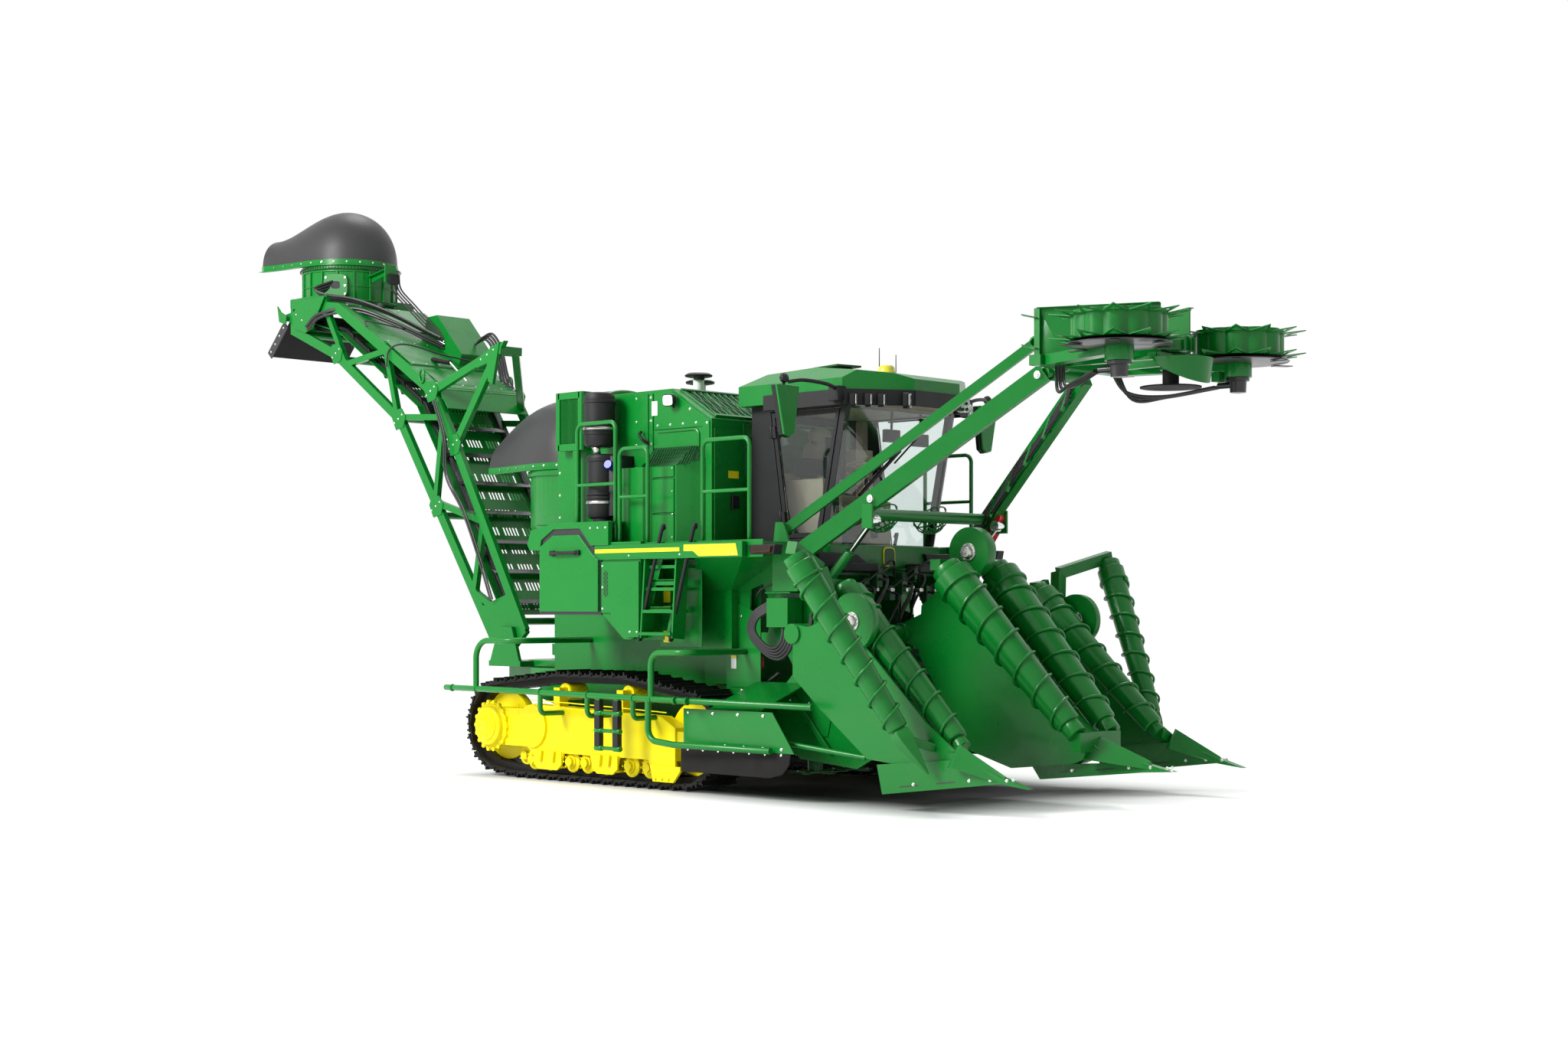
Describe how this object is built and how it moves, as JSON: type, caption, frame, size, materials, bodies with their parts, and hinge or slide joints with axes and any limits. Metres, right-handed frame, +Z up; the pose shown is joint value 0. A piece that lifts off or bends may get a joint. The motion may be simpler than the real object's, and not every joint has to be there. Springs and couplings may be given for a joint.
{
  "type": "two-row sugarcane harvester on tracks",
  "caption": "Tracked sugarcane harvester with row dividers and lifting scrolls, a topper on lift arms, a cab, an extractor and a slewing, folding elevator with its own extractor.",
  "frame": {"origin": "on the floor under the middle of the whole machine", "axes": "+X forward, towards the row dividers; +Y to the machine's left; +Z up"},
  "size_m": [13.7477, 4.7684, 6.6],
  "materials": {
    "green_paint": "gloss",
    "yellow_paint": "gloss",
    "dark_paint": "satin",
    "bright_steel": "gloss",
    "wear_steel": "satin",
    "track_steel": "matte",
    "rubber": "matte",
    "black_plastic": "matte",
    "hood_plastic": "satin",
    "glass": "gloss",
    "lamp": "gloss",
    "seat_fabric": "matte"
  },
  "bodies": {
    "chassis": {"air_intakes": "dark_paint", "cab_glass": "glass", "cab_mirrors": "black_plastic", "cab_roof": "green_paint", "cab_shell": "green_paint", "cooling_screens": "green_paint", "engine_block": "dark_paint", "engine_housing": "green_paint", "extractor_drum": "green_paint", "front_frame": "green_paint", "guard_rails": "green_paint", "handrails": "green_paint", "main_frame": "green_paint", "operator_console": "black_plastic", "operator_seat": "seat_fabric", "platforms": "green_paint", "primary_hood": "hood_plastic", "rubber_flaps": "rubber", "side_boxes": "green_paint", "track_frames": "yellow_paint", "track_left": "track_steel", "track_right": "track_steel", "track_rollers": "yellow_paint", "track_shields": "green_paint", "work_lamps": "lamp"},
    "cab_door": {"cab_door": "green_paint", "cab_door_glass": "glass"},
    "primary_fan": {"primary_fan": "dark_paint"},
    "knockdown_roller": {"knockdown_roller": "dark_paint"},
    "base_cutter_right_outer": {"base_cutter_right_outer": "wear_steel"},
    "base_cutter_right_inner": {"base_cutter_right_inner": "wear_steel"},
    "base_cutter_left_inner": {"base_cutter_left_inner": "wear_steel"},
    "base_cutter_left_outer": {"base_cutter_left_outer": "wear_steel"},
    "divider_right": {"divider_right": "green_paint"},
    "divider_left": {"divider_left": "green_paint"},
    "divider_centre": {"divider_centre": "green_paint"},
    "topper_arms": {"topper_arms": "green_paint"},
    "topper_link": {"topper_link": "green_paint"},
    "topper_head": {"topper_head": "green_paint"},
    "topper_drum_right": {"topper_drum_right": "green_paint"},
    "topper_drum_left": {"topper_drum_left": "green_paint"},
    "topper_cutter": {"topper_cutter": "dark_paint"},
    "topper_lift_barrels": {"topper_lift_barrels": "green_paint"},
    "topper_lift_rods": {"topper_lift_rods": "bright_steel"},
    "slew_table": {"slew_table": "green_paint"},
    "elevator": {"elevator_frame": "green_paint", "elevator_chain": "dark_paint"},
    "elevator_lift_barrel": {"elevator_lift_barrel": "dark_paint"},
    "elevator_lift_rod": {"elevator_lift_rod": "bright_steel"},
    "secondary_hood": {"secondary_hood": "hood_plastic"},
    "secondary_fan": {"secondary_fan": "dark_paint"},
    "bin_flap": {"bin_flap": "rubber"},
    "scroll_outer_left": {"scroll_outer_left": "green_paint"},
    "scroll_outer_right": {"scroll_outer_right": "green_paint"},
    "scroll_inner_left": {"scroll_inner_left": "green_paint"},
    "scroll_inner_right": {"scroll_inner_right": "green_paint"},
    "scroll_centre_left": {"scroll_centre_left": "green_paint"},
    "scroll_centre_right": {"scroll_centre_right": "green_paint"}
  },
  "joints": [
    {"name": "door_swing", "type": "hinge", "parent": "chassis", "child": "cab_door", "pos_m": [2.37, -0.7963, 2.33], "axis": [0.1498, 0, -0.9887], "range_deg": [0, 65]},
    {"name": "primary_fan_spin", "type": "hinge", "parent": "chassis", "child": "primary_fan", "pos_m": [-1.29, 0, 2.81], "axis": [0, 0, 1], "continuous": true},
    {"name": "knockdown_spin", "type": "hinge", "parent": "chassis", "child": "knockdown_roller", "pos_m": [3.06, 0, 1.15], "axis": [0, 1, 0], "continuous": true},
    {"name": "cutter_spin_right_outer", "type": "hinge", "parent": "chassis", "child": "base_cutter_right_outer", "pos_m": [2.96, -0.99, 0.22], "axis": [0, 0, 1], "continuous": true},
    {"name": "cutter_spin_right_inner", "type": "hinge", "parent": "chassis", "child": "base_cutter_right_inner", "pos_m": [2.96, -0.51, 0.22], "axis": [0, 0, 1], "continuous": true},
    {"name": "cutter_spin_left_inner", "type": "hinge", "parent": "chassis", "child": "base_cutter_left_inner", "pos_m": [2.96, 0.51, 0.22], "axis": [0, 0, 1], "continuous": true},
    {"name": "cutter_spin_left_outer", "type": "hinge", "parent": "chassis", "child": "base_cutter_left_outer", "pos_m": [2.96, 0.99, 0.22], "axis": [0, 0, 1], "continuous": true},
    {"name": "divider_float_right", "type": "hinge", "parent": "chassis", "child": "divider_right", "pos_m": [3.26, -1.39, 1.5], "axis": [0, -1, 0], "range_deg": [0, 8]},
    {"name": "divider_float_left", "type": "hinge", "parent": "chassis", "child": "divider_left", "pos_m": [3.26, 1.39, 1.5], "axis": [0, -1, 0], "range_deg": [0, 8]},
    {"name": "divider_float_centre", "type": "hinge", "parent": "chassis", "child": "divider_centre", "pos_m": [3.26, 0, 1.5], "axis": [0, -1, 0], "range_deg": [0, 8]},
    {"name": "scroll_spin_outer_left", "type": "hinge", "parent": "divider_left", "child": "scroll_outer_left", "pos_m": [4.333, 2.059, 1.412], "axis": [-0.4638, 0.2448, 0.8514], "continuous": true},
    {"name": "scroll_spin_outer_right", "type": "hinge", "parent": "divider_right", "child": "scroll_outer_right", "pos_m": [4.333, -2.059, 1.412], "axis": [-0.4638, -0.2448, 0.8514], "continuous": true},
    {"name": "scroll_spin_inner_left", "type": "hinge", "parent": "divider_left", "child": "scroll_inner_left", "pos_m": [4.375, 1.419, 1.235], "axis": [-0.7209, -0.0284, 0.6925], "continuous": true},
    {"name": "scroll_spin_inner_right", "type": "hinge", "parent": "divider_right", "child": "scroll_inner_right", "pos_m": [4.375, -1.419, 1.235], "axis": [-0.7209, 0.0284, 0.6925], "continuous": true},
    {"name": "scroll_spin_centre_left", "type": "hinge", "parent": "divider_centre", "child": "scroll_centre_left", "pos_m": [4.67, 0.306, 1.37], "axis": [-0.6894, 0.0489, 0.7227], "continuous": true},
    {"name": "scroll_spin_centre_right", "type": "hinge", "parent": "divider_centre", "child": "scroll_centre_right", "pos_m": [4.67, -0.306, 1.37], "axis": [-0.6894, -0.0489, 0.7227], "continuous": true},
    {"name": "topper_lift", "type": "hinge", "parent": "chassis", "child": "topper_arms", "pos_m": [2.88, 0, 2.18], "axis": [0, -1, 0], "range_deg": [-38, 8]},
    {"name": "topper_link_swing", "type": "hinge", "parent": "chassis", "child": "topper_link", "pos_m": [2.79, -1.2, 2.45], "axis": [0, -1, 0], "range_deg": [-38, 8]},
    {"name": "topper_level", "type": "hinge", "parent": "topper_arms", "child": "topper_head", "pos_m": [5.06, 0, 3.79], "axis": [0, -1, 0], "range_deg": [-8, 38]},
    {"name": "drum_spin_right", "type": "hinge", "parent": "topper_head", "child": "topper_drum_right", "pos_m": [6.26, -0.9, 4.03], "axis": [0, 0, 1], "continuous": true},
    {"name": "drum_spin_left", "type": "hinge", "parent": "topper_head", "child": "topper_drum_left", "pos_m": [6.26, 0.9, 4.03], "axis": [0, 0, 1], "continuous": true},
    {"name": "topper_cutter_spin", "type": "hinge", "parent": "topper_head", "child": "topper_cutter", "pos_m": [6.16, 0, 3.66], "axis": [0, 0, 1], "continuous": true},
    {"name": "topper_barrel_swing", "type": "hinge", "parent": "chassis", "child": "topper_lift_barrels", "pos_m": [2.97, 0, 1.9], "axis": [0, -1, 0], "range_deg": [-34.76, 7.33]},
    {"name": "topper_rod_stroke", "type": "slide", "parent": "topper_lift_barrels", "child": "topper_lift_rods", "axis": [0.7104, 0, 0.7038], "range_m": [-0.18701, 0.03945]},
    {"name": "elevator_slew", "type": "hinge", "parent": "chassis", "child": "slew_table", "pos_m": [-1.59, 0, 1.09], "axis": [0, 0, 1], "range_deg": [-85, 85]},
    {"name": "elevator_lift", "type": "hinge", "parent": "slew_table", "child": "elevator", "pos_m": [-1.94, 0, 1.43], "axis": [0, -1, 0], "range_deg": [0, 30]},
    {"name": "elevator_barrel_swing", "type": "hinge", "parent": "slew_table", "child": "elevator_lift_barrel", "pos_m": [-2.64, 0.76, 1.25], "axis": [0, -1, 0], "range_deg": [-0.01, 29.5]},
    {"name": "elevator_rod_stroke", "type": "slide", "parent": "elevator_lift_barrel", "child": "elevator_lift_rod", "axis": [-0.0133, 0, 0.9999], "range_m": [-0.37502, 0.0001]},
    {"name": "secondary_hood_turn", "type": "hinge", "parent": "elevator", "child": "secondary_hood", "pos_m": [-5.82, 0, 5.87], "axis": [0, 0, 1], "range_deg": [-150, 150]},
    {"name": "secondary_fan_spin", "type": "hinge", "parent": "elevator", "child": "secondary_fan", "pos_m": [-5.82, 0, 5.47], "axis": [0, 0, 1], "continuous": true},
    {"name": "bin_flap_swing", "type": "hinge", "parent": "elevator", "child": "bin_flap", "pos_m": [-6.26, 0, 5.29], "axis": [0, -1, 0], "range_deg": [-20, 50]}
  ],
  "couplings": [
    {"joint": "topper_link_swing", "follows": "topper_lift", "ratio": 1},
    {"joint": "topper_level", "follows": "topper_lift", "ratio": -1},
    {"joint": "topper_barrel_swing", "follows": "topper_lift", "ratio": 0.91448},
    {"joint": "topper_rod_stroke", "follows": "topper_lift", "m_per_rad": 0.28182},
    {"joint": "elevator_barrel_swing", "follows": "elevator_lift", "ratio": 0.98313},
    {"joint": "elevator_rod_stroke", "follows": "elevator_lift", "m_per_rad": -0.71604}
  ]
}
